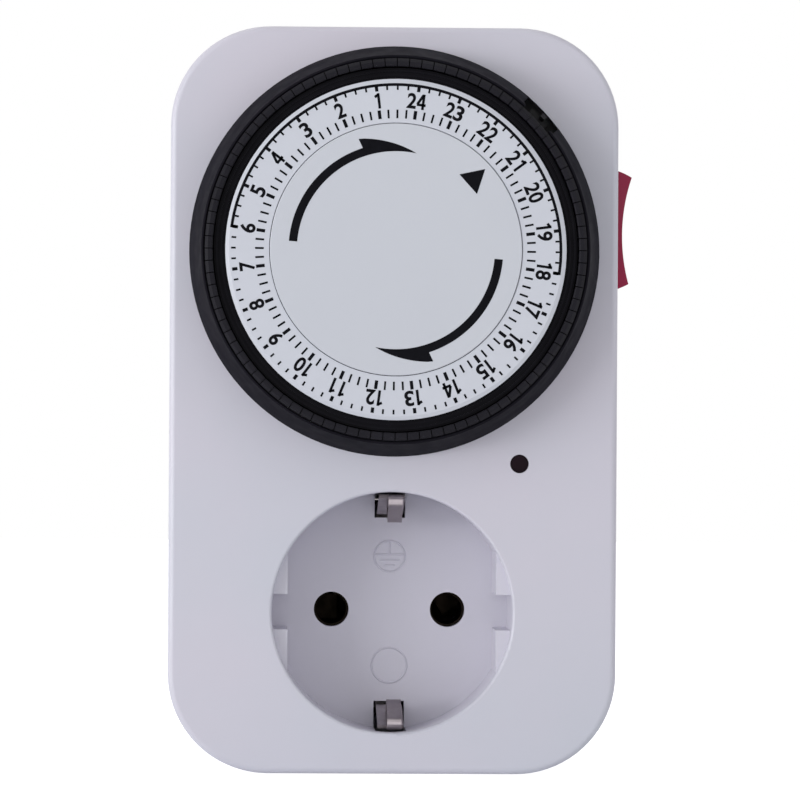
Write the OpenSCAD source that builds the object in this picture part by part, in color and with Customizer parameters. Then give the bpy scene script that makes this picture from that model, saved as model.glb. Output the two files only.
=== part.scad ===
// Plug-in mechanical timer switch with a 24-hour segment dial, an outlet and a plug.
// Origin: centre of the plug's end face. +Z up, the dial and the outlet face -Y. Millimetres.

/* [Housing] */
// Width of the housing
body_w = 72; // [70:0.5:78]
// Height of the housing
body_h = 120; // [118:0.5:128]
// Depth of the housing, without the plug and the dial
body_d = 38; // [38:0.5:42]
// Radius of the housing's four corners
corner_r = 16; // [12:0.5:18]
// Rounding of the front edge
edge_r = 1; // [0.5:0.1:1.5]
// Thickness of the side walls
wall = 2.2; // [1.8:0.1:2.6]

/* [Dial] */
// Height of the dial's centre above the housing's centre
dial_up = 23.9; // [22:0.1:25]
// Radius of the bezel where it meets the housing
bezel_r = 32.95; // [32.8:0.05:33.5]
// How far the bezel stands out of the face
bezel_h = 8.6; // [8:0.1:10]
// Angle of the pointer and of the reading window, clockwise from the top
pointer_angle = 46.75; // [44:0.25:50]
// How far a segment is pushed in
segment_travel = 3; // [2:0.25:3]
// Gap between two segments' heads
segment_gap = 0.14; // [0.1:0.02:0.3]

/* [Outlet and plug] */
// Distance of the outlet's axis below the housing's centre
outlet_down = 34.1; // [33.5:0.1:35]
// Radius of the outlet's recess
recess_r = 19.35; // [19:0.05:19.75]
// Depth of the outlet's recess
recess_d = 17.5; // [17.5:0.1:18.5]
// Distance between the two pins, and between the two pin holes
pin_pitch = 19; // [19]
// Radius of a pin hole in the outlet
pin_hole_r = 2.85; // [2.7:0.05:3]
// Radius of a plug pin
pin_r = 2.4; // [2.4]
// Length of a plug pin
pin_l = 19; // [19]
// Length of the plug body behind the housing
plug_l = 17.5; // [16.5:0.5:18]

/* [Rocker] */
// Height of the rocker's centre above the housing's centre
rocker_up = 28; // [26:0.5:28.5]
// Tilt of the rocker at rest, top outward
rocker_tilt = 1.5; // [0:0.5:3]

/* [Hidden] */
$fn = 64;
eps = 0.01;

// Depths count forward from the end of the plug.
rear_d = plug_l;
front_d = plug_l + body_d;
face_t = 2.4;
inside_d = front_d - face_t;
split_d = rear_d + 10;
floor_d = front_d - recess_d;
rear_t = 2.2;

body_z = outlet_down;
dial_z = outlet_down + dial_up;
corner_x = body_w / 2 - corner_r;
corner_z = body_h / 2 - corner_r;

// Screw positions in the cover's corners, from the housing's centre
boss_x = body_w / 2 - 8;
boss_z = body_h / 2 - 8;
boss_r = 3.2;

// Mechanism plate
plate_front = front_d - 8.5;
plate_t = 2.5;
plate_back = plate_front - plate_t;
plate_bosses = [[-20, body_z + 54.5], [20, body_z + 54.5], [-29.5, body_z - 8], [29.5, body_z - 8]];

// Dial: the top surfaces, counted from the face
hour_top = front_d + 8.9;
disc_top = front_d + 9.1;
segment_top = front_d + 9.4;
segment_r0 = 29.15;
segment_r1 = 30.4;
segments = 96;
bezel_in = segment_r1 + 0.12;
bezel_round = 0.3;
window_w = 7;
cover_hole_r = 32;
hour_r0 = 20.16;
hour_r1 = 27.15;
disc_r = 20.06;
post_r = 4.05;

// Gears: the dial's ring, the reduction gear and the motor pinion
dial_teeth = 64;
small_teeth = 12;
large_teeth = 40;
motor_teeth = 10;
dial_m = 0.8;
motor_m = 0.6;
pressure = 25;
gear_angle = 210;
motor_angle = 45;
gear_dist = dial_m * (dial_teeth + small_teeth) / 2;
motor_dist = motor_m * (large_teeth + motor_teeth) / 2;
gear_x = gear_dist * sin(gear_angle);
gear_z = dial_z + gear_dist * cos(gear_angle);
motor_x = gear_x + motor_dist * sin(motor_angle);
motor_z = gear_z + motor_dist * cos(motor_angle);
dial_gear_d = plate_front + 1.4;
dial_gear_t = 3;
large_gear_d = plate_back - 3;
can_r = 17.5;
can_front = plate_back - 6.5;
can_l = 14;

// Switch, along the radius under the reading window
plunger_r = 30.9;
leaf_d = plate_back - 4.6;
leaf_t = 0.4;
leaf_root = 16;
plunger_travel = 1.4;

// Rocker
rocker_z = body_z + rocker_up;
rocker_d0 = front_d - 20.3;
rocker_d1 = front_d - 9.5;
pivot_x = body_w / 2 - 2.6;
rocker_r = 10.1;

// Outlet and straps
cup_wall = 1.85;
cup_r = recess_r + cup_wall;
cup_floor = 2.5;
ledge_x = 16.8;
notch_w = 5.7;
clip_slot_w = 5;
clip_slot_r = 15;
plug_r = 18.8;
plug_wall = 2;
plug_flat = 16.9;
sleeve_d = rear_d + 4.5;
post_w = 3.4;
floor_posts = [for (a = [45 : 90 : 315]) 20.8 * [sin(a), cos(a)]];
lamp_x = 20.3;
lamp_z = body_z - 10.1;

shell_grey = "#c6c8d2";
black = "#1d1c22";
dark_grey = "#4a4a50";
white = "#e4e6ec";
brass = "#c9a55a";
steel = "#b9bcc0";
nickel = "#cfcac0";
red = "#8e1c46";

function seg_name(h) = str("seg_", h < 10 ? "0" : "", h);

// ---- Drawing helpers ----

// A front view in X and Z, from depth d0 to d1
module slab(d0, d1) translate([0, -d0, 0]) rotate([90, 0, 0]) linear_extrude(d1 - d0) children();

// A revolve about an axis along the depth: the profile is drawn in radius and depth
module turned(x = 0, z = 0) translate([x, 0, z]) rotate([90, 0, 0]) rotate_extrude() children();

// Turns what is drawn at the top of a dial clockwise
module clock(angle, x = 0, z = dial_z) translate([x, 0, z]) rotate([0, angle, 0]) children();

// A side view across the depth: the profile is drawn in height and depth, w wide in X
module side(w) rotate([90, 0, 90]) linear_extrude(w, center = true) rotate(90) children();

// A round rod from depth d0 to d1
module rod(x, z, r, d0, d1) translate([x, -d0, z]) rotate([90, 0, 0]) cylinder(r = r, h = d1 - d0);

module rounded_rect(w, h, r) {
    square([w - 2 * r, h], center = true);
    square([w, h - 2 * r], center = true);
    for (x = [-1, 1], y = [-1, 1]) translate([x * (w / 2 - r), y * (h / 2 - r)]) circle(r);
}

module ring(r0, r1) difference() {
    circle(r1);
    circle(r0);
}

// Runs a profile round the housing: it is drawn outward from the corners' centres
module rim_sweep() {
    translate([0, 0, body_z]) for (q = [0 : 3]) {
        reach = q % 2 == 0 ? corner_x : corner_z;
        half = q % 2 == 0 ? corner_z : corner_x;
        rotate([0, -90 * q, 0]) translate([reach, 0, 0]) {
            rotate([180, 0, 0]) linear_extrude(2 * half, center = true) children();
            translate([0, 0, half]) rotate([90, 0, 0]) rotate_extrude(angle = 90) children();
        }
    }
}

// A strip of metal of thickness t along a path
function unit(v) = v / norm(v);
function normal(p, i) = let (
    a = unit(p[min(i + 1, len(p) - 1)] - p[min(i, len(p) - 2)]),
    b = unit(p[max(i, 1)] - p[max(i - 1, 0)]),
    m = unit(a + b)
) [-m[1], m[0]] / max(0.5, a * m);
module strip(p, t) polygon(concat(
    [for (i = [0 : len(p) - 1]) p[i] + normal(p, i) * t / 2],
    [for (i = [len(p) - 1 : -1 : 0]) p[i] - normal(p, i) * t / 2]
));
function arc(c, r, a0, a1, n) = [for (i = [0 : n]) let (a = a0 + (a1 - a0) * i / n) c + r * [cos(a), sin(a)]];

// Involute spur gear, one tooth pointing along +Y
function inv(a) = tan(a) * 180 / PI - a;
module gear(teeth, m, play = 0.05) {
    rp = m * teeth / 2;
    rb = rp * cos(pressure);
    rf = rp - 1.05 * m;
    ra = rp + 0.8 * m;
    half = 90 / teeth - play / rp * 90 / PI + inv(pressure);
    r0 = max(rb, rf);
    radii = concat(rf < rb ? [rf] : [], [for (i = [0 : 4]) r0 + (ra - r0) * i / 4]);
    angles = [for (r = radii) half - inv(acos(min(1, rb / r)))];
    n = len(radii) - 1;
    polygon([for (t = [0 : teeth - 1], s = [0, 1], i = [0 : n])
        let (k = s == 0 ? i : n - i, a = 90 - t * 360 / teeth + (s == 0 ? 1 : -1) * angles[k])
        radii[k] * [cos(a), sin(a)]]);
}

// ---- Housing ----

module front_cover() color(shell_grey) difference() {
    union() {
        rim_sweep() difference() {
            union() {
                translate([0, split_d]) square([corner_r, body_d - 10 - edge_r]);
                translate([0, split_d]) square([corner_r - edge_r, body_d - 10]);
                translate([corner_r - edge_r, front_d - edge_r]) circle(edge_r);
            }
            translate([-1, split_d - 1]) square([corner_r - wall + 1, inside_d - split_d + 1]);
        }
        slab(inside_d, front_d) translate([0, body_z]) square([2 * corner_x, 2 * corner_z], center = true);
        for (x = [-1, 1], z = [-1, 1])
            rod(x * boss_x, body_z + z * boss_z, boss_r, split_d, inside_d);
        for (p = plate_bosses) rod(p[0], p[1], 2.6, plate_front, inside_d);
    }
    for (x = [-1, 1], z = [-1, 1])
        rod(x * boss_x, body_z + z * boss_z, 1.25, split_d - 1, split_d + 15);
    for (p = plate_bosses) rod(p[0], p[1], 0.95, plate_front - 1, plate_front + 5.2);
    // Dial hole, wider under the reading window
    rod(0, dial_z, cover_hole_r, inside_d - 1, front_d + 1);
    clock(pointer_angle) slab(inside_d - 1, front_d + 1) intersection() {
        circle(bezel_r);
        translate([-window_w / 2, cover_hole_r - 2]) square([window_w, 4]);
    }
    // Outlet hole with a rounded rim
    turned() {
        translate([0, inside_d - 1]) square([recess_r, face_t + 2]);
        difference() {
            translate([recess_r - 1, front_d - 0.5]) square([1.5, 1]);
            translate([recess_r + 0.5, front_d - 0.5]) circle(0.5);
        }
    }
    rod(lamp_x, lamp_z, 1.5, inside_d - 1, front_d + 1);
    // Rocker opening in the right side
    translate([body_w / 2 - wall - 1, -rocker_d1 - 0.3, rocker_z - rocker_r - 0.3])
        cube([wall + 2, rocker_d1 - rocker_d0 + 0.6, 2 * rocker_r + 0.6]);
    translate([body_w / 2 - wall - 1, -rocker_d1 - 1.2, rocker_z - 1.35])
        cube([1.95, rocker_d1 - rocker_d0 + 2.4, 2.7]);
}

module plug_outline(r, flat) intersection() {
    circle(r);
    union() {
        square([2 * flat, 2 * r + 2], center = true);
        square([2 * r + 2, 5.3], center = true);
    }
}

module rear_cover() color(shell_grey) difference() {
    union() {
        rim_sweep() difference() {
            union() {
                translate([0, rear_d + 1.5]) square([corner_r, split_d - rear_d - 1.5]);
                translate([0, rear_d]) square([corner_r - 1.5, split_d - rear_d]);
                translate([corner_r - 1.5, rear_d + 1.5]) circle(1.5);
                translate([corner_r - wall - 1.3, split_d - 2]) square([1.2, 4.5]);
            }
            translate([-1, rear_d + rear_t])
                square([corner_r - wall + 1 - 1.3, split_d - rear_d]);
            translate([corner_r - wall - 1.4, rear_d + rear_t])
                square([1.4, split_d - rear_d - rear_t - 2]);
        }
        slab(rear_d, rear_d + rear_t) translate([0, body_z])
            square([2 * corner_x, 2 * corner_z], center = true);
        // Posts that carry the outlet insert
        for (p = floor_posts) rod(p[0], p[1], post_w / 2, rear_d + 0.5, floor_d - cup_floor);
        for (x = [-1, 1], z = [-1, 1])
            rod(x * boss_x, body_z + z * boss_z, 4.2, rear_d + 1, split_d);
    }
    // Hole for the plug, and the front cover's bosses where they pass the lip
    slab(rear_d - 1, rear_d + rear_t + 1) plug_outline(plug_r + 0.05, plug_flat + 0.05);
    for (x = [-1, 1], z = [-1, 1])
        rod(x * boss_x, body_z + z * boss_z, boss_r + 0.2, split_d, split_d + 4);
    for (x = [-1, 1], z = [-1, 1]) {
        rod(x * boss_x, body_z + z * boss_z, 3.1, rear_d - 1, rear_d + 4.5);
        rod(x * boss_x, body_z + z * boss_z, 1.6, rear_d, split_d + 1);
    }
}

module plug_body() color(shell_grey) difference() {
    union() {
        slab(0, rear_d + rear_t + 0.5) plug_outline(plug_r, plug_flat);
        // Flange that rests on the rear cover, between the outlet's posts
        slab(rear_d + rear_t, rear_d + rear_t + 1.2) difference() {
            circle(plug_r + 3);
            for (p = floor_posts) translate(p) circle(post_w / 2 + 0.2);
        }
    }
    slab(2.5, rear_d + rear_t + 2) difference() {
        plug_outline(plug_r - plug_wall, plug_flat - plug_wall);
        for (s = [-1, 1]) translate([-4.2, s > 0 ? 14.9 : -18.9]) square([8.4, 4]);
    }
    // Channels of the earth strips, closed on the outside behind the rear cover
    for (m = [0, 1]) mirror([0, 0, m]) {
        slab(1.6, rear_d) translate([-2.3, 17]) square([4.6, 5.5]);
        slab(rear_d - 1, rear_d + rear_t + 2) translate([-2.3, 16.9]) square([4.6, 1]);
    }
    for (s = [-1, 1]) {
        rod(s * pin_pitch / 2, 0, pin_r - 0.15, -1, 3);
        rod(s * pin_pitch / 2, 0, pin_r + 0.05, -1, 0.6);
    }
}

// ---- Dial ----

module dial_bezel() color(black) {
    top = front_d + bezel_h;
    crest = bezel_in + 0.2;
    window_l = face_t + bezel_h + 7;
    difference() {
        turned(0, dial_z) polygon(concat(
            [[bezel_in, inside_d - 0.4], [cover_hole_r - 0.1, inside_d - 0.4],
             [cover_hole_r - 0.1, front_d], [bezel_r, front_d], [bezel_r, front_d + 0.3]],
            arc([crest, top - bezel_round], bezel_round, 0, 90, 5),
            [[bezel_in, top - 0.15]]));
        // Reading window, open toward the segments
        clock(pointer_angle) translate([0, 0, bezel_in - 1]) linear_extrude(4)
            translate([0, 6 - inside_d - window_l / 2]) rounded_rect(window_w, window_l, 3);
    }
    // Hooks under the cover
    for (a = [115, 250, 345]) clock(a) rotate([90, 0, 0]) rotate([0, 0, 83]) rotate_extrude(angle = 14)
        polygon([[bezel_in + 0.1, inside_d - 2.4], [bezel_in + 0.8, inside_d - 2.4],
                 [bezel_in + 1.7, inside_d - 1], [bezel_in + 1.7, inside_d], [bezel_in + 0.8, inside_d],
                 [bezel_in + 0.8, inside_d + 0.5], [bezel_in + 0.1, inside_d + 0.5]]);
}

module dial_wheel() color(black) {
    base = dial_gear_d;
    deck = hour_top - 1;
    slots_top = segment_top - 3 - segment_travel - 0.1;
    turned(0, dial_z) {
        difference() {
            union() {
                translate([post_r + 0.1, base]) square([3, deck - 0.7 - base]);
                translate([post_r + 0.1, deck - 2.2]) square([hour_r0 - post_r - 0.1, 1.5]);
                translate([hour_r0, deck - 2.2]) square([segment_r0 - 0.2 - hour_r0, 2.2]);
                translate([22.4, base + dial_gear_t - 0.6]) square([1.8, deck - base - 4]);
                translate([hour_r1 + 0.1, inside_d]) square([segment_r0 - 0.2 - hour_r1 - 0.1, deck - inside_d]);
                for (r = [27.75, 28.5]) translate([r - 0.15, deck - 0.1]) square([0.3, 0.45]);
            }
            // Relief under the deck, which keeps the moulding even
            translate([9, deck - 3]) square([11, 1.1]);
        }
    }
    clock(gear_angle) slab(base, base + dial_gear_t) difference() {
        gear(dial_teeth, dial_m);
        circle(22);
    }
    // Comb with one slot for each segment
    translate([0, 0, dial_z]) slab(inside_d, slots_top) difference() {
        ring(segment_r0 - 0.8, segment_r1 - 0.05);
        for (i = [0 : segments - 1]) rotate(-(i + 0.5) * 360 / segments)
            translate([-0.65, segment_r0 + 0.15]) square([1.3, 2]);
    }
}

module hour_ring() color(white) turned(0, dial_z)
    polygon([[hour_r0, hour_top - 1], [hour_r1, hour_top - 1], [hour_r1, hour_top - 0.2],
             [hour_r1 - 0.6, hour_top], [hour_r0 + 0.05, hour_top], [hour_r0, hour_top - 0.05]]);

module centre_disc() color(white) turned(0, dial_z) {
    polygon([[0, disc_top - 1.6], [disc_r, disc_top - 1.6], [disc_r, disc_top - 0.1],
             [disc_r - 0.1, disc_top], [0, disc_top]]);
    translate([0, front_d - 5]) square([2.5, disc_top - 1.6 - front_d + 5]);
}

module segment() {
    top = segment_top;
    // The head's sides run toward the dial's centre, its top slopes outward
    intersection() {
        side(3) polygon([
            [segment_r0, top - 3], [segment_r1, top - 3], [segment_r1, top - 0.5],
            [segment_r1 - 0.1, top - 0.38], [segment_r1 - 0.5, top], [segment_r0 + 0.2, top],
            [segment_r0, top - 0.2]]);
        slab(top - 4, top + 1) {
            w0 = (segment_r0 - 1) * tan(180 / segments) - segment_gap / 2;
            w1 = (segment_r1 + 1) * tan(180 / segments) - segment_gap / 2;
            polygon([[-w0, segment_r0 - 1], [w0, segment_r0 - 1], [w1, segment_r1 + 1], [-w1, segment_r1 + 1]]);
        }
    }
    side(1.1) translate([segment_r0 + 0.25, top - 9.6])
        square([segment_r1 - segment_r0 - 0.6, 6.7]);
}

// Four quarter-hours, from hour h on
module hour_segments(h) color(dark_grey)
    for (k = [0 : 3]) clock(7.5 - 15 * h - (k + 0.5) * 360 / segments) segment();

// ---- Mechanism ----

module mechanism_plate() color(dark_grey) difference() {
    union() {
        slab(plate_back, plate_front) difference() {
            union() {
                translate([0, dial_z]) circle(31);
                translate([0, body_z + 3]) rounded_rect(66, 28, 3);
                for (i = [0, 1]) {
                    p = plate_bosses[i];
                    translate(p) circle(3.2);
                    translate([0, dial_z]) rotate(-atan2(p[0], p[1] - dial_z))
                        translate([-2.6, 0]) square([5.2, norm([p[0], p[1] - dial_z])]);
                }
                translate([0, dial_z]) rotate(-pointer_angle) translate([-4.5, 0]) square([9, 34.3]);
            }
            // Clear of the rocker carrier, the lamp and the cover's screw bosses
            translate([27.4, rocker_z - 12]) square([10, 24]);
            translate([lamp_x, lamp_z]) circle(3.2);
            for (x = [-1, 1]) translate([x * boss_x, body_z + boss_z]) circle(boss_r + 0.4);
        }
        rod(0, dial_z, post_r, plate_front - 0.5, disc_top - 1.6);
        rod(0, dial_z, 6.5, plate_front - 0.5, dial_gear_d - 0.1);
        for (p = motor_mounts()) rod(p[0], p[1], 2.4, can_front + 1.2, plate_back + 0.5);
    }
    rod(0, dial_z, 2.55, plate_front + 2.4, disc_top);
    for (p = plate_bosses) rod(p[0], p[1], 1.2, plate_back - 1, plate_front + 1);
    rod(gear_x, gear_z, 1.55, plate_back - 1, plate_front + 1);
    rod(motor_x, motor_z, 1.15, plate_back - 1, plate_front + 1);
    for (p = motor_mounts()) rod(p[0], p[1], 0.95, can_front, plate_back + 1.5);
    // Guide of the plunger
    clock(pointer_angle) slab(plate_back - 1, plate_front + 1)
        translate([-1.6, plunger_r - 1.2]) square([3.2, 2.4]);
}

function motor_mounts() = [for (s = [-1, 1])
    [motor_x + s * 20.5 * sin(motor_angle + 90), motor_z + s * 20.5 * cos(motor_angle + 90)]];

module drive_gear() color(white) {
    clock(gear_angle + 180 + 180 / small_teeth, gear_x, gear_z)
        slab(dial_gear_d, dial_gear_d + dial_gear_t) gear(small_teeth, dial_m);
    rod(gear_x, gear_z, 3.2, plate_front + 0.3, dial_gear_d);
    rod(gear_x, gear_z, 1.45, large_gear_d, dial_gear_d + 1);
    clock(motor_angle, gear_x, gear_z) slab(large_gear_d, large_gear_d + 1.8) difference() {
        gear(large_teeth, motor_m);
        for (a = [30 : 60 : 330]) rotate(a) translate([0, 6.6]) circle(1.9);
    }
    rod(gear_x, gear_z, 3.2, large_gear_d, plate_back - 0.3);
}

module motor_can() color(steel) difference() {
    rod(motor_x, motor_z, can_r, can_front - can_l, can_front);
    rod(motor_x, motor_z, can_r - 0.8, can_front - can_l + 0.8, can_front + 1);
    rod(motor_x, motor_z, 1.55, can_front - can_l - 1, can_front);
}

module motor_coil() color(brass) turned(motor_x, motor_z)
    translate([8.6, can_front - can_l + 0.8]) square([7.4, can_l - 1.6]);

module motor_cover() color(steel) slab(can_front, can_front + 1.2) difference() {
    union() {
        translate([motor_x, motor_z]) circle(can_r);
        for (p = motor_mounts()) translate(p) circle(3);
        translate([motor_x, motor_z]) rotate(-motor_angle) square([41, 5], center = true);
    }
    translate([motor_x, motor_z]) circle(1.1);
    for (p = motor_mounts()) translate(p) circle(1.2);
}

module motor_rotor() color(dark_grey) {
    rod(motor_x, motor_z, 7.8, can_front - can_l + 1.6, can_front - 0.8);
    rod(motor_x, motor_z, 1, can_front - can_l + 0.4, large_gear_d + 3);
    clock(motor_angle + 180 + 180 / motor_teeth, motor_x, motor_z)
        slab(large_gear_d - 0.3, large_gear_d + 2.1) gear(motor_teeth, motor_m);
}

// Reads the segment at the pointer and presses the leaf
module plunger() color(shell_grey) clock(pointer_angle) {
    slab(leaf_d + leaf_t / 2 + 0.2, front_d - 3.8) translate([-1.5, plunger_r - 1.1]) square([3, 2.2]);
    slab(plate_front + 1.8, front_d - 3.6) translate([-1.8, segment_r0 + 0.1]) square([3.6, 3.1]);
    slab(front_d - 3.7, front_d + 2.5) translate([0, 31.85]) square([0.9, 0.65]);
}

module switch_base() color(black) clock(pointer_angle) difference() {
    slab(leaf_d - 6.5, plate_back) translate([0, leaf_root - 1]) rounded_rect(12, 8, 1);
    slab(leaf_d - 0.75, leaf_d + 0.75) translate([-2.3, leaf_root - 1.2]) square([4.6, 6]);
    slab(leaf_d - 1.2, leaf_d + 1.2) translate([-2.3, leaf_root + 1.2]) square([4.6, 3]);
}

module contact_leaf() color(brass) clock(pointer_angle) {
    slab(leaf_d - leaf_t / 2, leaf_d + leaf_t / 2) translate([-1.8, leaf_root]) square([3.6, 16.2]);
    translate([-1.8, -leaf_d, leaf_root]) rotate([0, 90, 0]) cylinder(r = 0.6, h = 3.6);
    rod(0, leaf_root + 15, 1.2, leaf_d - 0.9, leaf_d - leaf_t / 2);
}

// ---- Rocker ----

module rocker() color(red) translate([pivot_x, 0, rocker_z]) rotate([0, rocker_tilt, 0]) {
    slab(rocker_d0, rocker_d1) difference() {
        intersection() {
            circle(rocker_r);
            translate([-2, -rocker_r]) square([7.3, 2 * rocker_r]);
        }
        translate([33.7, 0]) circle(29.8);
    }
    slab(rocker_d0 + 3, rocker_d1 - 3) translate([-3.6, -1.2]) square([2, 2.4]);
    rod(0, 0, 1.2, rocker_d0 - 1, rocker_d1 + 1);
}

module rocker_carrier() color(dark_grey) {
    in_x = pivot_x - 5.8;
    out_x = body_w / 2 - wall;
    difference() {
        slab(rocker_d0 - 1.8, rocker_d1 + 1.8) translate([in_x, rocker_z - 11.6])
            square([out_x - in_x, 23.2]);
        slab(rocker_d0 - 0.2, rocker_d1 + 0.2) translate([in_x + 1.5, rocker_z - 10.4])
            square([out_x - in_x, 20.8]);
        rod(pivot_x, rocker_z, 1.25, rocker_d0 - 2, rocker_d1 + 2);
    }
}

// ---- Outlet ----

module outlet_insert() color(shell_grey) difference() {
    union() {
        rod(0, 0, cup_r, floor_d, inside_d);
        rod(0, 0, cup_r + 2, inside_d - 1.5, inside_d);
    }
    slab(floor_d - 1, inside_d + 1) difference() {
        circle(recess_r);
        difference() {
            circle(recess_r + 1);
            square([2 * ledge_x, 2 * recess_r + 4], center = true);
            square([2 * recess_r + 4, notch_w], center = true);
        }
    }
    clip_slots(floor_d - 1, inside_d - 1.5);
}

module clip_slots(d0, d1) for (s = [-1, 1]) slab(d0, d1)
    translate([-clip_slot_w / 2, s > 0 ? clip_slot_r : -cup_r - 1])
        square([clip_slot_w, cup_r + 1 - clip_slot_r]);

module outlet_floor() color(shell_grey) {
    difference() {
        rod(0, 0, cup_r, floor_d - cup_floor, floor_d);
        for (s = [-1, 1])
            rod(s * pin_pitch / 2, 0, pin_hole_r, floor_d - cup_floor - 1, floor_d + 1);
        clip_slots(floor_d - cup_floor - 1, floor_d + 1);
    }
    // Two rings moulded in relief between the pin holes
    for (p = [[8.7, 2.52], [-9.15, 2.87]]) turned(0, p[0])
        translate([p[1], floor_d]) polygon([[-0.2, -0.3], [0.2, -0.3], [0.2, 0], [0.03, 0.15], [-0.03, 0.15], [-0.2, 0]]);
}

// One strip from the plug's side contact to the outlet's clip, with a tongue pressed out of it
module earth_strip() color(nickel) {
    side(4.2) strip(concat(
        arc([-2.7, 9], 21, -15, 15, 8),
        [[17.4, 18], [17.4, 30], [15.9, 36.5], [15.9, floor_d + 1], [18.6, floor_d + 11.9]]), 0.6);
    translate([0.55, 0, 0]) side(2.3) strip(concat(
        [[18.47, floor_d + 11.3], [18.8, floor_d + 12.6]],
        arc([18, floor_d + 12.8], 0.85, 15, 150, 6), [[14.85, floor_d + 8.9]],
        arc([15.5, floor_d + 8.1], 0.9, 160, 230, 4), [[16.8, floor_d + 4.5]]), 0.5);
}

module earth_strip_top() earth_strip();
module earth_strip_bottom() mirror([0, 0, 1]) earth_strip();

module earth_bridge() color(nickel) slab(sleeve_d + 6, sleeve_d + 6.8) square([4, 34.2], center = true);

module plug_pin() color(nickel) turned() {
    translate([0, -pin_l + 1.6]) square([pin_r, pin_l - 2]);
    translate([0, -0.5]) square([pin_r - 0.2, 3.5]);
    intersection() {
        translate([0, -pin_l]) square([pin_r, 2]);
        union() {
            translate([0, -pin_l]) square([pin_r - 1.6, 2]);
            translate([pin_r - 1.6, -pin_l + 1.6]) circle(1.6);
        }
    }
    translate([0, 2.5]) square([3.4, 1.2]);
}

module sleeve() color(brass) difference() {
    turned() {
        translate([2.5, sleeve_d]) square([0.6, 12.8]);
        translate([2.5, sleeve_d]) square([1.7, 0.8]);
    }
    // Slit that lets the sleeve spring open
    translate([-0.4, -sleeve_d - 14, 0]) cube([0.8, 11, 5]);
}

module plug_pin_left() translate([-pin_pitch / 2, 0, 0]) plug_pin();
module plug_pin_right() translate([pin_pitch / 2, 0, 0]) plug_pin();
module sleeve_left() translate([-pin_pitch / 2, 0, 0]) sleeve();
module sleeve_right() translate([pin_pitch / 2, 0, 0]) sleeve();

// Foot on the pin's flange, riser, and tab under the sleeve
module neutral_strap() color(brass) {
    x = -pin_pitch / 2;
    slab(3.7, 4.5) translate([x - 4, -2]) square([6, 4]);
    slab(3.7, sleeve_d) translate([x - 4.8, -2]) square([0.8, 4]);
    slab(sleeve_d - 0.8, sleeve_d) translate([x - 4.8, -2]) square([6, 4]);
}

module live_in_strap() color(brass) {
    x = pin_pitch / 2;
    d = sleeve_d + 4;
    slab(3.7, 4.5) translate([x - 2, -2]) square([7.2, 4]);
    slab(3.7, d) translate([x + 4.4, -6]) square([0.8, 6]);
    slab(d - 0.8, d) strip([[x + 4.4, -4], [25.5, -4], [25.5, 42], [14.5, 60],
        [leaf_root * 0.8 * sin(pointer_angle), dial_z + leaf_root * 0.8 * cos(pointer_angle)]], 3);
    clock(pointer_angle) slab(d - 0.8, leaf_d - 6.5) translate([-1.5, leaf_root - 4]) square([3, 2.5]);
}

module live_out_strap() color(brass) {
    x = pin_pitch / 2;
    u = leaf_root + 15;
    end = [u * sin(pointer_angle), dial_z + u * cos(pointer_angle)];
    contact_d = leaf_d - 0.9 - plunger_travel - 0.1;
    slab(sleeve_d - 0.8, sleeve_d) strip([[x - 1, 0], [20.6, 8], [21.4, 60], end], 3);
    clock(pointer_angle) slab(sleeve_d - 0.8, contact_d) translate([-1, u - 0.4]) square([2, 0.8]);
    rod(end[0], end[1], 1.2, contact_d - 0.8, contact_d);
}

// ---- Lamp and screws ----

module lamp_lens() color("#3a0f20") turned(lamp_x, lamp_z) {
    translate([0, inside_d - 1.2]) square([1.45, face_t + 0.9]);
    translate([0, inside_d - 1.2]) square([2.7, 1.2]);
    translate([2.1, inside_d - 6]) square([0.6, 5]);
}

module neon_lamp() color("#d8b8a8") turned(lamp_x, lamp_z) {
    translate([0, inside_d - 11]) square([2.05, 9]);
    translate([0, inside_d - 1.2 - 2.05]) intersection() {
        circle(2.05);
        square(2.05);
    }
}

module screw(x, z, r, head_r, d0, head, length) difference() {
    union() {
        rod(x, z, head_r, d0, d0 + head);
        rod(x, z, r, d0, d0 + head + length);
    }
    for (a = [0, 90]) translate([x, -d0, z]) rotate([0, a, 0])
        cube([head_r * 1.1, head, 0.6], center = true);
}

module cover_screws() color(steel) for (x = [-1, 1], z = [-1, 1])
    screw(x * boss_x, body_z + z * boss_z, 1.2, 2.8, rear_d + 2.4, 2.1, 16);

module plate_screws() color(steel) for (p = plate_bosses)
    screw(p[0], p[1], 0.9, 2.2, plate_back - 1.4, 1.4, 7);

module motor_screws() color(steel) for (p = motor_mounts())
    screw(p[0], p[1], 0.9, 2.2, can_front - 1.4, 1.4, 6);

// ---- Nodes ----

front_cover();
rear_cover();
dial_bezel();
dial_wheel();
hour_ring();
centre_disc();
mechanism_plate();
drive_gear();
motor_can();
motor_coil();
motor_cover();
motor_rotor();
plunger();
switch_base();
contact_leaf();
rocker();
rocker_carrier();
outlet_insert();
outlet_floor();
plug_body();
earth_strip_top();
earth_strip_bottom();
earth_bridge();
plug_pin_left();
plug_pin_right();
sleeve_left();
sleeve_right();
neutral_strap();
live_in_strap();
live_out_strap();
lamp_lens();
neon_lamp();
cover_screws();
plate_screws();
motor_screws();
for (h = [0 : 23]) hour_segments(h);
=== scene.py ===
import math

import bpy
from mathutils import Matrix, Vector


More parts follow.
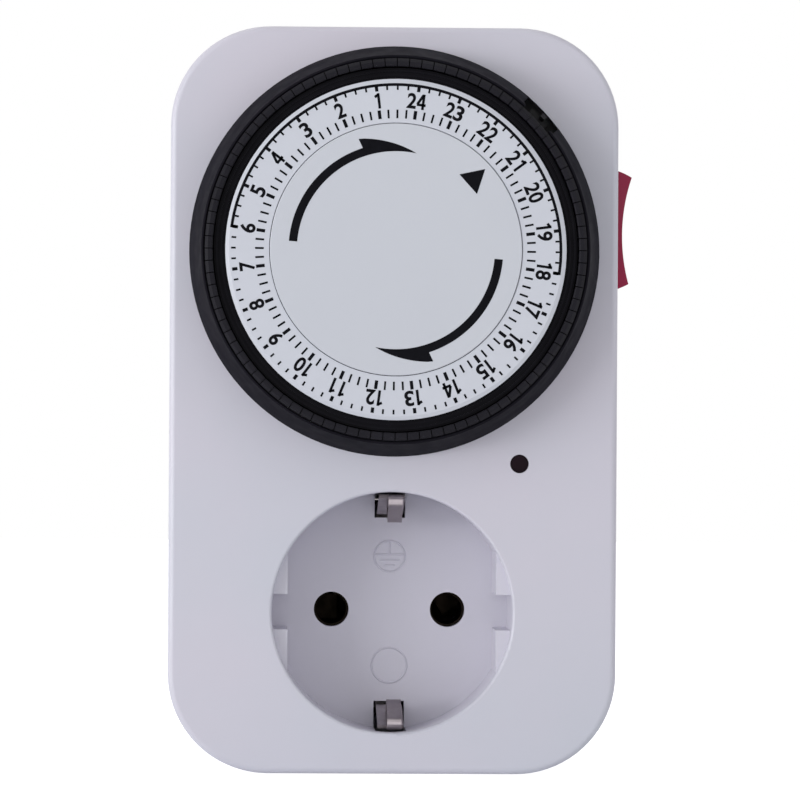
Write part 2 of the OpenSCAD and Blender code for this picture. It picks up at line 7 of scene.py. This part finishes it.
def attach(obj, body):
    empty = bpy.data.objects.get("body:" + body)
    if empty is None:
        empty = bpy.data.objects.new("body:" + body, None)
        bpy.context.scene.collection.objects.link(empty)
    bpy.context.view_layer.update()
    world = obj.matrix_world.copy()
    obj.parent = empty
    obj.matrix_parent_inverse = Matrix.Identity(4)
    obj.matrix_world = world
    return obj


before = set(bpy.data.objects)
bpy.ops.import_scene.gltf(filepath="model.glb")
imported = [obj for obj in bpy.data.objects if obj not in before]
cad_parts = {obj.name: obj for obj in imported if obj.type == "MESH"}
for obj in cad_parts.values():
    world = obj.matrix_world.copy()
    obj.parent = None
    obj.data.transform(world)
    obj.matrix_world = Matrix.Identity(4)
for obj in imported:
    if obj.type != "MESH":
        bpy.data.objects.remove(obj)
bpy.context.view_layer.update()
print("timer frame loaded")

# where things are on the timer, in millimetres: the middle of the plug's face is at the origin
timer = {
    "dialHeight": 58.0,   # the dial's axis above the plug's
    "hourTop": 64.4,      # front of the hour ring, in front of the plug's face
    "discTop": 64.6,      # front of the fixed disc
    "recessFloor": 38.0,  # floor of the outlet
    "bottom": -25.9,      # underside of the housing
}


def mm(value):
    return value / 1000


def linearColour(hexCode):
    # an sRGB colour as the linear values that shaders take, opaque
    channels = [int(hexCode[i:i + 2], 16) / 255 for i in (1, 3, 5)]
    return [c / 12.92 if c <= 0.04045 else ((c + 0.055) / 1.055) ** 2.4 for c in channels] + [1.0]


def addNode(tree, kind, settings=None, links=None):
    # one node with its settings and what feeds it
    node = tree.nodes.new(kind)
    for name, value in (settings or {}).items():
        if isinstance(name, int) or name in node.inputs:
            node.inputs[name].default_value = value
        else:
            setattr(node, name, value)
    for name, source in (links or {}).items():
        tree.links.new(source, node.inputs[name])
    return node


def newMaterial(name, **shaderSettings):
    material = bpy.data.materials.new(name)
    material.use_nodes = True
    tree = material.node_tree
    shader = tree.nodes["Principled BSDF"]
    for socket, value in shaderSettings.items():
        shader.inputs[socket.replace("_", " ")].default_value = value
    return material, tree, shader


# most of a noise lies between these two values, so ramps and ranges run from one to the other
noiseSpread = (0.3, 0.7)


def perMetre(size):
    # the scale of a pattern whose cells are so many millimetres
    return 1000 / size


def tintedColour(tree, shader, dark, light, size):
    # slow drift between two close tints, size in millimetres
    place = addNode(tree, "ShaderNodeTexCoord")
    drift = addNode(tree, "ShaderNodeTexNoise", {"Scale": perMetre(size), "Detail": 3.0},
                    {"Vector": place.outputs["Object"]})
    ramp = addNode(tree, "ShaderNodeValToRGB", links={"Fac": drift.outputs["Fac"]})
    for stop, position, tint in zip(ramp.color_ramp.elements, noiseSpread, (dark, light)):
        stop.position = position
        stop.color = linearColour(tint)
    tree.links.new(ramp.outputs["Color"], shader.inputs["Base Color"])
    return place


def grainBump(tree, shader, place, grain, height, strength, stretch=None):
    # moulded, rolled or drawn grain: its width and height in millimetres
    vector = place.outputs["Object"]
    if stretch:
        stretched = addNode(tree, "ShaderNodeMapping", {"Scale": stretch}, {"Vector": vector})
        vector = stretched.outputs["Vector"]
    noise = addNode(tree, "ShaderNodeTexNoise", {"Scale": perMetre(grain), "Detail": 4.0, "Roughness": 0.6},
                    {"Vector": vector})
    bump = addNode(tree, "ShaderNodeBump", {"Strength": strength, "Distance": mm(height)},
                   {"Height": noise.outputs["Fac"]})
    tree.links.new(bump.outputs["Normal"], shader.inputs["Normal"])


def roughnessDrift(tree, shader, place, low, high, size):
    # patches that shine a little more or less, size in millimetres
    noise = addNode(tree, "ShaderNodeTexNoise", {"Scale": perMetre(size), "Detail": 5.0},
                    {"Vector": place.outputs["Object"]})
    spread = addNode(tree, "ShaderNodeMapRange",
                     {"From Min": noiseSpread[0], "From Max": noiseSpread[1], "To Min": low, "To Max": high},
                     {"Value": noise.outputs["Fac"]})
    tree.links.new(spread.outputs["Result"], shader.inputs["Roughness"])


def mouldedAbs(name, dark, light, gloss=0.42, sheen=0.5, grain=0.35):
    # moulded ABS with a fine spark-eroded grain: a soft sheen with no sharp reflection
    material, tree, shader = newMaterial(name, Roughness=gloss, IOR=1.53, Specular_IOR_Level=sheen)
    place = tintedColour(tree, shader, dark, light, size=45)
    grainBump(tree, shader, place, grain, height=0.006, strength=0.35)
    roughnessDrift(tree, shader, place, low=gloss - 0.04, high=gloss + 0.05, size=12)
    return material


def polishedNylon(name, dark, light, gloss, sheen, grain=0.9):
    # moulded nylon from a polished tool: clear but slightly wavy reflections
    material, tree, shader = newMaterial(name, Roughness=gloss, IOR=1.53, Specular_IOR_Level=sheen)
    place = tintedColour(tree, shader, dark, light, size=8)
    grainBump(tree, shader, place, grain, height=0.004, strength=0.4)
    roughnessDrift(tree, shader, place, low=gloss - 0.06, high=gloss + 0.08, size=3)
    return material


def rolledMetal(name, dark, light, gloss, lines=(1, 0.08, 1)):
    # rolled strip or drawn rod: bright, with faint lines along the rolling direction
    material, tree, shader = newMaterial(name, Roughness=gloss, Metallic=1.0)
    place = tintedColour(tree, shader, dark, light, size=4)
    grainBump(tree, shader, place, grain=0.25, height=0.004, strength=0.5, stretch=lines)
    roughnessDrift(tree, shader, place, low=gloss - 0.07, high=gloss + 0.12, size=1.5)
    return material


def platedPin(name, dark, light, gloss=0.36, plated=-2.6, fade=0.6, paintedShade="#14100F"):
    # nickel-plated brass rod: bright outside the case; deeper than plated, in mm, it is painted nearly black
    # as shade inside the case
    material = rolledMetal(name, dark, light, gloss)
    tree = material.node_tree
    shader = tree.nodes["Principled BSDF"]
    bright = shader.inputs["Base Color"].links[0].from_socket
    place = addNode(tree, "ShaderNodeTexCoord")
    depth = addNode(tree, "ShaderNodeSeparateXYZ", links={"Vector": place.outputs["Object"]})
    inside = addNode(tree, "ShaderNodeMapRange",
                     {"From Min": mm(plated - fade), "From Max": mm(plated), "To Min": 1.0, "To Max": 0.0},
                     {"Value": depth.outputs["Y"]})
    blend = addNode(tree, "ShaderNodeMix", {"data_type": "RGBA"}, {"Factor": inside.outputs["Result"]})
    first, second = [socket for socket in blend.inputs if socket.type == "RGBA"]
    tree.links.new(bright, first)
    # painted shade: the part of the pin inside the case is coloured nearly black
    second.default_value = linearColour(paintedShade)
    mixed = [socket for socket in blend.outputs if socket.type == "RGBA"][0]
    tree.links.new(mixed, shader.inputs["Base Color"])
    return material


def padInk(name, dark, light):
    # pad-printed ink: matt, a little thinner here and there
    material, tree, shader = newMaterial(name, Roughness=0.55, Specular_IOR_Level=0.04)
    place = tintedColour(tree, shader, dark, light, size=1.5)
    grainBump(tree, shader, place, grain=0.2, height=0.002, strength=0.3)
    return material


def stainedPolycarbonate(name, dark, light, seeThrough, sheen=0.5):
    # dark tinted lens: smooth, with some light passing into it
    material, tree, shader = newMaterial(name, Roughness=0.12, Transmission_Weight=seeThrough,
                                         Specular_IOR_Level=sheen)
    tintedColour(tree, shader, dark, light, size=2)
    return material


def lacqueredWinding(name, dark, light, wire=0.4, relief=0.1, bandScale=6.28):
    # layers of enamelled copper wire: finer in a real motor, drawn so thick in mm that the turns show
    material, tree, shader = newMaterial(name, Roughness=0.3, Metallic=1.0)
    place = tintedColour(tree, shader, dark, light, size=3)
    wave = addNode(tree, "ShaderNodeTexWave",
                   {"bands_direction": "Y", "Scale": perMetre(wire) / bandScale, "Distortion": 0.4},
                   {"Vector": place.outputs["Object"]})
    bump = addNode(tree, "ShaderNodeBump", {"Strength": 0.8, "Distance": mm(relief)},
                   {"Height": wave.outputs["Fac"]})
    tree.links.new(bump.outputs["Normal"], shader.inputs["Normal"])
    return material


# name, darker tint, lighter tint, and where it differs: gloss is the roughness, sheen the specular level
finishes = {
    "shell": mouldedAbs("abs_pale_grey", "#C7C9D4", "#CFCBD7"),
    "insert": mouldedAbs("polycarbonate_pale_grey", "#D0CED9", "#D4D2DD", gloss=0.36, grain=0.5),
    "bezel": polishedNylon("nylon_black_bezel", "#17161C", "#1C1B21", gloss=0.5, sheen=0.014),
    "wheel": polishedNylon("nylon_black_wheel", "#0B0A0F", "#0F0E14", gloss=0.42, sheen=0.05),
    "segments": polishedNylon("nylon_black_segments", "#18171D", "#1E1D23", gloss=0.38, sheen=0.07, grain=0.6),
    "hours": mouldedAbs("abs_white_hours", "#C8CBD5", "#CCCFD8", gloss=0.38, grain=0.6),
    "disc": mouldedAbs("abs_white_disc", "#C4C7D0", "#C8CBD3", gloss=0.36, grain=0.6),
    "plate": mouldedAbs("abs_dark_grey", "#38373D", "#403F45", gloss=0.5),
    "gears": mouldedAbs("acetal_natural", "#DAD8D0", "#E2E0D8", gloss=0.35),
    "rotor": mouldedAbs("ferrite_dark", "#2B2A2E", "#343338", gloss=0.6),
    "plunger": mouldedAbs("acetal_dark_grey", "#232328", "#29292E", gloss=0.35, sheen=0.15),
    "rocker": mouldedAbs("abs_crimson", "#92103C", "#9C1442", gloss=0.34, sheen=0.24, grain=0.5),
    "nickel": rolledMetal("nickel_plated_brass", "#958D91", "#A9A1A5", gloss=0.42),
    "pins": platedPin("nickel_plated_brass_pin", "#A09A9C", "#B2ACAE"),
    "steel": rolledMetal("zinc_plated_steel", "#A9ACB2", "#C0C3C8", gloss=0.3),
    # painted shade: tinned bronze coloured nearly black to stand for the shade on the contacts deep inside
    "bronze": rolledMetal("tinned_bronze_painted_shade", "#17130F", "#1E1915", gloss=0.45),
    "winding": lacqueredWinding("copper_winding", "#8A4A2A", "#B06A3C"),
    "lens": stainedPolycarbonate("polycarbonate_maroon", "#14060F", "#1C0A16", seeThrough=0.08, sheen=0.02),
    "lamp": stainedPolycarbonate("lamp_glass", "#C9A79A", "#D8B8A8", seeThrough=0.8),
    "ink": padInk("ink_black", "#0C0C10", "#121217"),
}

nodeFinish = {
    "front_cover": "shell", "rear_cover": "shell", "plug_body": "shell",
    "outlet_insert": "insert", "outlet_floor": "insert",
    "dial_bezel": "bezel", "dial_wheel": "wheel", "hour_ring": "hours", "centre_disc": "disc",
    "mechanism_plate": "plate", "drive_gear": "gears", "motor_rotor": "rotor",
    "motor_can": "steel", "motor_cover": "steel", "motor_coil": "winding",
    "plunger": "plunger", "switch_base": "plate", "contact_leaf": "bronze",
    "rocker": "rocker", "rocker_carrier": "plate",
    "earth_strip_top": "nickel", "earth_strip_bottom": "nickel", "earth_bridge": "nickel",
    "plug_pin_left": "pins", "plug_pin_right": "pins",
    "sleeve_left": "bronze", "sleeve_right": "bronze",
    "neutral_strap": "bronze", "live_in_strap": "bronze", "live_out_strap": "bronze",
    "lamp_lens": "lens", "neon_lamp": "lamp",
    "cover_screws": "steel", "plate_screws": "steel", "motor_screws": "steel",
}

for name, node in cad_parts.items():
    finish = finishes[nodeFinish.get(name, "segments")]
    node.data.materials.clear()
    node.data.materials.append(finish)
print("finishes on", len(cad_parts), "CAD nodes")


def deselect():
    if bpy.context.object and bpy.context.object.mode != "OBJECT":
        bpy.ops.object.mode_set(mode="OBJECT")
    bpy.ops.object.select_all(action="DESELECT")


def copyOf(piece):
    copy = piece.copy()
    copy.data = piece.data.copy()
    bpy.context.scene.collection.objects.link(copy)
    return copy


def applied(piece):
    deselect()
    piece.select_set(True)
    bpy.context.view_layer.objects.active = piece
    bpy.ops.object.transform_apply(location=True, rotation=True, scale=True)


def onFace(piece, x, z, depth, turn=0.0):
    # puts a flat piece, drawn upright at the origin facing up, on a plane that faces forward
    piece.rotation_euler = (math.radians(90), 0, 0)
    applied(piece)
    piece.location = (mm(x), -mm(depth), mm(z))
    piece.rotation_euler = (0, math.radians(turn), 0)
    applied(piece)


def shifted(piece, x, z):
    piece.location = (mm(x), 0, mm(z))
    applied(piece)
    return piece


def onDial(piece, angle, radius, depth):
    # angle clockwise from the top, in degrees: the piece's own top points outward
    a = math.radians(angle)
    onFace(piece, radius * math.sin(a), timer["dialHeight"] + radius * math.cos(a), depth, angle)


def joined(pieces, name):
    deselect()
    for piece in pieces:
        piece.select_set(True)
    bpy.context.view_layer.objects.active = pieces[0]
    bpy.ops.object.join()
    whole = bpy.context.object
    whole.name = name
    return whole


def finished(piece, finish, body):
    piece.data.materials.clear()
    piece.data.materials.append(finishes[finish])
    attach(piece, body)
    print("made", piece.name)
    return piece


# the layer of ink, how far it is sunk into what carries it, and what is near enough to weld
printLayer = {"ink": 0.03, "sunk": 0.01, "weld": 0.002, "bandWeld": 0.001}

# how far the ticks on the hour ring sit off its centre, and how far they are turned, in degrees
hourPrint = {"x": -0.08, "z": -0.08, "turn": 0.4}


def printBase(surface):
    return surface - printLayer["sunk"]


numerals = {
    "height": 2.47, "width": 1.48, "pitch": 1.57,
    "stroke": 0.42,  # of the straight digits
    "bold": 0.027,   # what the round digits gain on each side
    "smooth": 6,     # steps in each of their curves
    "radius": 23.78, "first": 7.66, "step": 15.0,
    "x": -0.03, "z": 0.0,
    # numbers printed a little off their even places, along the ring
    "nudge": {4: -0.18, 6: 0.1, 7: 0.25, 8: 0.15, 9: 0.18,
              11: -0.14, 14: -0.08, 15: -0.08, 20: -0.14, 21: 0.34},
    # start and end of each stroke, in parts of the digit's height
    "strokes": {
        "1": ((0.08, -0.5, 0.08, 0.5), (-0.16, 0.27, 0.08, 0.41)),
        "4": ((0.11, -0.5, 0.11, 0.5), (-0.285, -0.2, 0.285, -0.2), (-0.25, -0.17, 0.07, 0.45)),
    },
}


def inked(piece, name):
    # gives a flat outline the thickness of a layer of ink
    deselect()
    piece.name = name
    piece.select_set(True)
    bpy.context.view_layer.objects.active = piece
    bpy.ops.object.mode_set(mode="EDIT")
    bpy.ops.mesh.select_all(action="SELECT")
    bpy.ops.mesh.remove_doubles(threshold=mm(printLayer["weld"]))
    bpy.ops.mesh.select_all(action="SELECT")
    bpy.ops.mesh.extrude_region_move(TRANSFORM_OT_translate={"value": (0, 0, mm(printLayer["ink"]))})
    bpy.ops.mesh.select_all(action="SELECT")
    bpy.ops.mesh.normals_make_consistent(inside=False)
    bpy.ops.object.mode_set(mode="OBJECT")
    return piece


def roundDigit(digit):
    # a digit with curves, from Blender's own typeface
    deselect()
    bpy.ops.object.text_add()
    label = bpy.context.object
    label.data.body = digit
    label.data.offset = numerals["bold"]
    label.data.resolution_u = numerals["smooth"]
    bpy.ops.object.convert(target="MESH")
    bpy.ops.object.origin_set(type="ORIGIN_GEOMETRY", center="BOUNDS")
    label = bpy.context.object
    label.location = (0, 0, 0)
    wide, tall = mm(numerals["width"]), mm(numerals["height"])
    label.scale = (wide / label.dimensions.x, tall / label.dimensions.y, 1)
    applied(label)
    return inked(label, "digit_" + digit)


def strokeDigit(digit):
    # the one and the four, from straight strokes
    parts = []
    tall, wide = mm(numerals["height"]), mm(numerals["stroke"])
    for x0, y0, x1, y1 in numerals["strokes"][digit]:
        deselect()
        bpy.ops.mesh.primitive_plane_add(size=1)
        part = bpy.context.object
        part.scale = (math.hypot(x1 - x0, y1 - y0) * tall, wide, 1)
        part.rotation_euler = (0, 0, math.atan2(y1 - y0, x1 - x0))
        part.location = ((x0 + x1) / 2 * tall, (y0 + y1) / 2 * tall, 0)
        applied(part)
        parts.append(part)
    return inked(joined(parts, "strokes"), "digit_" + digit)


def hourNumerals():
    glyphs = {}
    for digit in "012345678":
        straight = digit in numerals["strokes"]
        glyphs[digit] = strokeDigit(digit) if straight else roundDigit(digit)
    # the nine is the six upside down
    glyphs["9"] = copyOf(glyphs["6"])
    glyphs["9"].rotation_euler = (0, 0, math.radians(180))
    applied(glyphs["9"])
    drawn = []
    for hour in range(1, 25):
        digits = str(hour)
        pair = []
        for place, digit in enumerate(digits):
            glyph = copyOf(glyphs[digit])
            glyph.location = (mm((place - (len(digits) - 1) / 2) * numerals["pitch"]), 0, 0)
            pair.append(glyph)
        label = joined(pair, "hour_" + digits)
        angle = numerals["first"] + numerals["step"] * (24 - hour)
        angle += math.degrees(numerals["nudge"].get(hour, 0) / numerals["radius"])
        onDial(label, angle, numerals["radius"], printBase(timer["hourTop"]))
        drawn.append(label)
    for glyph in glyphs.values():
        bpy.data.objects.remove(glyph)
    whole = shifted(joined(drawn, "hour_numerals"), numerals["x"], numerals["z"])
    return finished(whole, "ink", "dial")


ticks = {
    "count": 96, "perHour": 4, "first": 7.5,
    # inner and outer radius, then width
    "inner": (20.95, 22.33, 0.31), "innerHour": (20.95, 22.33, 0.52),
    "outer": (25.4, 26.15, 0.3), "outerHour": (25.3, 26.15, 0.52),
    "corner": 0.03,
}

# the line that joins the outer ticks through the night hours, and its two end marks
night = {"from": 277.5, "to": 457.5, "radius": 26.31, "line": 0.46, "overrun": 0.3, "steps": 120,
         "endRadius": 25.3, "endWidth": 0.4, "tickShift": 0.06}


def tick(r0, r1, width):
    deselect()
    bpy.ops.mesh.primitive_plane_add(size=1)
    mark = bpy.context.object
    mark.scale = (mm(width), mm(r1 - r0), 1)
    applied(mark)
    bpy.ops.object.mode_set(mode="EDIT")
    bpy.ops.mesh.select_all(action="SELECT")
    bpy.ops.mesh.bevel(offset=mm(ticks["corner"]), segments=2, affect="VERTICES")
    bpy.ops.mesh.extrude_region_move(TRANSFORM_OT_translate={"value": (0, 0, mm(printLayer["ink"]))})
    bpy.ops.mesh.select_all(action="SELECT")
    bpy.ops.mesh.normals_make_consistent(inside=False)
    bpy.ops.object.mode_set(mode="OBJECT")
    return mark


def isNight(angle):
    return (angle - night["from"]) % 360 <= night["to"] - night["from"]


def quarterTicks():
    patterns = {}
    for name in ("innerHour", "inner", "outerHour", "outer"):
        r0, r1, width = ticks[name]
        patterns[name] = (tick(r0, r1, width), (r0 + r1) / 2)
    marks = []
    for quarter in range(ticks["count"]):
        angle = ticks["first"] + quarter * 360 / ticks["count"]
        hour = "Hour" if quarter % ticks["perHour"] == 0 else ""
        for ring in ("inner", "outer"):
            pattern, radius = patterns[ring + hour]
            mark = copyOf(pattern)
            shift = night["tickShift"] if ring == "outer" and isNight(angle) else 0
            onDial(mark, angle + hourPrint["turn"], radius + shift, printBase(timer["hourTop"]))
            marks.append(mark)
    for pattern, radius in patterns.values():
        bpy.data.objects.remove(pattern)
    whole = shifted(joined(marks, "quarter_ticks"), hourPrint["x"], hourPrint["z"])
    return finished(whole, "ink", "dial")


def spunBand(r0, r1, start, sweep, steps, surface):
    # a flat profile across the band is spun round the dial's axis
    ink = printLayer["ink"]
    deselect()
    bpy.ops.mesh.primitive_plane_add(size=1)
    band = bpy.context.object
    band.scale = (mm(ink), mm(r1 - r0), 1)
    applied(band)
    # the profile stands up along the radius, its thin side along the depth
    band.rotation_euler = (math.radians(90), 0, math.radians(90))
    applied(band)
    band.location = (0, -mm(printBase(surface) + ink / 2), mm((r0 + r1) / 2))
    applied(band)
    band.rotation_euler = (0, math.radians(start), 0)
    applied(band)
    band.location = (0, 0, mm(timer["dialHeight"]))
    applied(band)
    bpy.ops.object.mode_set(mode="EDIT")
    bpy.ops.mesh.select_all(action="SELECT")
    # spin turns the other way here, hence the minus
    bpy.ops.mesh.spin(steps=steps, angle=-math.radians(sweep),
                      center=(0, 0, mm(timer["dialHeight"])), axis=(0, 1, 0))
    bpy.ops.mesh.select_all(action="SELECT")
    bpy.ops.mesh.remove_doubles(threshold=mm(printLayer["bandWeld"]))
    bpy.ops.mesh.select_all(action="DESELECT")
    bpy.ops.mesh.select_mode(type="EDGE")
    bpy.ops.mesh.select_non_manifold()
    bpy.ops.mesh.edge_face_add()
    bpy.ops.mesh.select_all(action="SELECT")
    bpy.ops.mesh.normals_make_consistent(inside=False)
    bpy.ops.object.mode_set(mode="OBJECT")
    return band


def nightArc():
    start, end = night["from"] + hourPrint["turn"], night["to"] + hourPrint["turn"]
    inner, outer = night["radius"] - night["line"] / 2, night["radius"] + night["line"] / 2
    band = spunBand(inner, outer, start - night["overrun"], end - start + 2 * night["overrun"],
                    night["steps"], timer["hourTop"])
    ends = []
    for angle in (start, end):
        mark = tick(night["endRadius"], outer, night["endWidth"])
        onDial(mark, angle, (night["endRadius"] + outer) / 2, printBase(timer["hourTop"]))
        ends.append(mark)
    whole = shifted(joined([band] + ends, "night_arc"), hourPrint["x"], hourPrint["z"])
    return finished(whole, "ink", "dial")


arrows = {
    "band": (15.74, 17.07), "start": 274.6, "sweep": 97.1, "steps": 97,
    # the head: its angle, its barb's angle and radius, the radius its back starts from, and how fast it falls
    "headAt": 342.3, "barb": (341.1, 18.64), "back": (343.0, 18.52), "slope": 0.0965,
    "before": 0.6, "after": 0.45,  # degrees round headAt that become the barb
    "x": -0.04, "z": -0.12,
}


def flowArrow(turn):
    # a band whose outer edge is drawn out to a barb and falls to a point
    r0, r1 = arrows["band"]
    backAngle, backRadius = arrows["back"]
    arrow = spunBand(r0, r1, arrows["start"], arrows["sweep"], arrows["steps"], timer["discTop"])
    for vertex in arrow.data.vertices:
        x, z = vertex.co.x, vertex.co.z - mm(timer["dialHeight"])
        angle = math.degrees(math.atan2(x, z)) % 360
        angle += 360 if angle < arrows["start"] - 1 else 0
        radius = math.hypot(x, z)
        if angle > arrows["headAt"] - arrows["before"] and radius > mm((r0 + r1) / 2):
            if angle < arrows["headAt"] + arrows["after"]:
                angle, radius = arrows["barb"][0], mm(arrows["barb"][1])
            else:
                radius = mm(max(r0, backRadius - (angle - backAngle) * arrows["slope"]))
        a = math.radians(angle + turn)
        vertex.co.x = radius * math.sin(a)
        vertex.co.z = mm(timer["dialHeight"]) + radius * math.cos(a)
    return arrow


def flowArrows():
    whole = shifted(joined([flowArrow(0), flowArrow(180)], "flow_arrows"), arrows["x"], arrows["z"])
    return finished(whole, "ink", "housing")


# the triangle that points at the time, from its base's radius to its tip's
pointer = {"angle": 47.9, "base": 15.44, "tip": 19.08, "corner": 0.02, "x": -0.06, "z": 0.1}


def pointerMark():
    deselect()
    height = pointer["tip"] - pointer["base"]
    bpy.ops.mesh.primitive_circle_add(vertices=3, radius=mm(height * 2 / 3), fill_type="NGON")
    mark = bpy.context.object
    bpy.ops.object.mode_set(mode="EDIT")
    bpy.ops.mesh.select_all(action="SELECT")
    bpy.ops.mesh.bevel(offset=mm(pointer["corner"]), segments=1, affect="VERTICES")
    bpy.ops.mesh.extrude_region_move(TRANSFORM_OT_translate={"value": (0, 0, mm(printLayer["ink"]))})
    bpy.ops.mesh.select_all(action="SELECT")
    bpy.ops.mesh.normals_make_consistent(inside=False)
    bpy.ops.object.mode_set(mode="OBJECT")
    onDial(mark, pointer["angle"], pointer["base"] + height / 3, printBase(timer["discTop"]))
    shifted(mark, pointer["x"], pointer["z"])
    mark.name = "pointer_mark"
    return finished(mark, "ink", "housing")


earthMark = {
    "height": 8.7, "line": 0.4, "relief": 0.15,
    "crest": 0.2,  # of the line's width is left at its top
    "stem": (0.3, 2.4),  # from and to, above the middle of the ring
    "bars": ((0.3, 4.9), (-0.6, 3.4), (-1.5, 1.8)),  # height above the middle, and length
}


def ridge(length):
    # a moulded line with sloping sides
    deselect()
    bpy.ops.mesh.primitive_plane_add(size=1)
    line = bpy.context.object
    line.scale = (mm(earthMark["line"]), mm(length), 1)
    applied(line)
    bpy.ops.object.mode_set(mode="EDIT")
    bpy.ops.mesh.select_all(action="SELECT")
    bpy.ops.mesh.extrude_region_move(TRANSFORM_OT_translate={"value": (0, 0, mm(earthMark["relief"]))})
    bpy.ops.transform.resize(value=(earthMark["crest"], 1 - earthMark["line"] / length, 1))
    bpy.ops.mesh.select_all(action="SELECT")
    bpy.ops.mesh.normals_make_consistent(inside=False)
    bpy.ops.object.mode_set(mode="OBJECT")
    return line


def earthSign():
    # the sign moulded in its ring on the outlet's floor: a stem on three bars
    low, high = earthMark["stem"]
    floor = printBase(timer["recessFloor"])
    stem = ridge(high - low)
    onFace(stem, 0, earthMark["height"] + (low + high) / 2, floor)
    lines = [stem]
    for up, wide in earthMark["bars"]:
        bar = ridge(wide)
        onFace(bar, 0, 0, floor, 90)
        lines.append(shifted(bar, 0, earthMark["height"] + up))
    return finished(joined(lines, "earth_sign"), "insert", "housing")


hourNumerals()
quarterTicks()
nightArc()
flowArrows()
pointerMark()
earthSign()


stage = {
    "floorSize": 4.0,  # metres
    "floorColour": "#E9EAEE",
    "floorGlow": 0.97,  # how white the board looks to the camera
    "gap": 0.2,  # millimetres under the timer
    "fill": 0.48,  # even light from all round
}


def directRays(tree):
    # 1 for what the camera sees, straight, mirrored or through glass
    rays = addNode(tree, "ShaderNodeLightPath")
    seen = rays.outputs["Is Camera Ray"]
    for other in ("Is Glossy Ray", "Is Transmission Ray"):
        either = addNode(tree, "ShaderNodeMath", {"operation": "MAXIMUM"}, {0: seen, 1: rays.outputs[other]})
        seen = either.outputs[0]
    return seen


def paleFloor():
    deselect()
    height = mm(timer["bottom"] - stage["gap"])
    bpy.ops.mesh.primitive_plane_add(size=stage["floorSize"], location=(0, 0, height))
    floor = bpy.context.object
    floor.name = "studio_floor"
    material = bpy.data.materials.new("painted_board_white")
    material.use_nodes = True
    tree = material.node_tree
    tree.nodes.clear()
    # a matt board that reads as white to the camera and still takes the shadow
    matt = addNode(tree, "ShaderNodeBsdfDiffuse", {"Color": linearColour(stage["floorColour"])})
    glow = addNode(tree, "ShaderNodeEmission", {"Strength": stage["floorGlow"]})
    dark = addNode(tree, "ShaderNodeEmission", {"Strength": 0.0})
    seen = addNode(tree, "ShaderNodeMixShader",
                   links={0: directRays(tree), 1: dark.outputs[0], 2: glow.outputs[0]})
    both = addNode(tree, "ShaderNodeAddShader", links={0: matt.outputs[0], 1: seen.outputs[0]})
    addNode(tree, "ShaderNodeOutputMaterial", links={"Surface": both.outputs[0]})
    floor.data.materials.append(material)


def studioWorld(strength):
    # an even fill on the timer, with plain white behind it
    world = bpy.data.worlds.new("studio_world")
    bpy.context.scene.world = world
    world.use_nodes = True
    tree = world.node_tree
    tree.nodes.clear()
    lit = addNode(tree, "ShaderNodeBackground", {"Color": (1, 1, 1, 1), "Strength": strength})
    white = addNode(tree, "ShaderNodeBackground", {"Color": (1, 1, 1, 1), "Strength": 1.0})
    mix = addNode(tree, "ShaderNodeMixShader",
                  links={0: directRays(tree), 1: lit.outputs[0], 2: white.outputs[0]})
    addNode(tree, "ShaderNodeOutputWorld", links={"Surface": mix.outputs[0]})


lampTarget = (0, -55, 34)  # the middle of the face, in millimetres

lamps = {
    # name: place in metres, size in metres, watts
    "key_left": ((-0.72, -0.62, 0.28), (0.5, 0.7), 1.0),
    "low_left": ((-0.7, -0.6, 0.0), (0.5, 0.3), 3.65),
    "far_left": ((-0.9, -0.3, 0.12), (0.5, 0.4), 1.95),
    "front_mid": ((0.0, -0.9, 0.12), (0.3, 0.2), 0.2),
    "front_left": ((-0.45, -0.85, 0.1), (0.3, 0.3), 0.25),
    "front_right": ((0.45, -0.85, 0.1), (0.3, 0.3), 0.2),
    "right": ((0.8, -0.5, 0.15), (0.5, 0.7), 1.05),
    "top_front": ((0.0, -0.2, 0.8), (0.5, 0.5), 0.22),
    "top_back": ((0.0, 0.3, 0.85), (0.6, 0.5), 0.5),
}


def softLamps():
    target = Vector([mm(v) for v in lampTarget])
    for name, (place, size, watts) in lamps.items():
        light = bpy.data.lights.new(name, "AREA")
        light.shape = "RECTANGLE"
        light.size, light.size_y = size
        light.energy = watts
        lamp = bpy.data.objects.new(name, light)
        bpy.context.scene.collection.objects.link(lamp)
        lamp.location = place
        lamp.rotation_euler = (target - Vector(place)).to_track_quat("-Z", "Y").to_euler()


# place and target in millimetres, roll in degrees, clip in metres
cameraSet = {"place": (-24.6, -905.5, 27.1), "target": (1.03, -55.5, 34.15), "roll": 0.35,
             "lens": 238.3, "sensor": 36, "clip": (0.01, 20)}


def setCamera():
    data = bpy.data.cameras.new("camera")
    data.sensor_width = cameraSet["sensor"]
    data.lens = cameraSet["lens"]
    data.clip_start, data.clip_end = cameraSet["clip"]
    camera = bpy.data.objects.new("camera", data)
    bpy.context.scene.collection.objects.link(camera)
    place = Vector([mm(v) for v in cameraSet["place"]])
    target = Vector([mm(v) for v in cameraSet["target"]])
    look = (target - place).to_track_quat("-Z", "Y").to_matrix().to_4x4()
    camera.matrix_world = look @ Matrix.Rotation(math.radians(cameraSet["roll"]), 4, "Z")
    camera.location = place
    bpy.context.scene.camera = camera


paleFloor()
studioWorld(stage["fill"])
softLamps()
setCamera()
bpy.context.scene.view_settings.view_transform = "Standard"
print("stage, lamps and camera set")
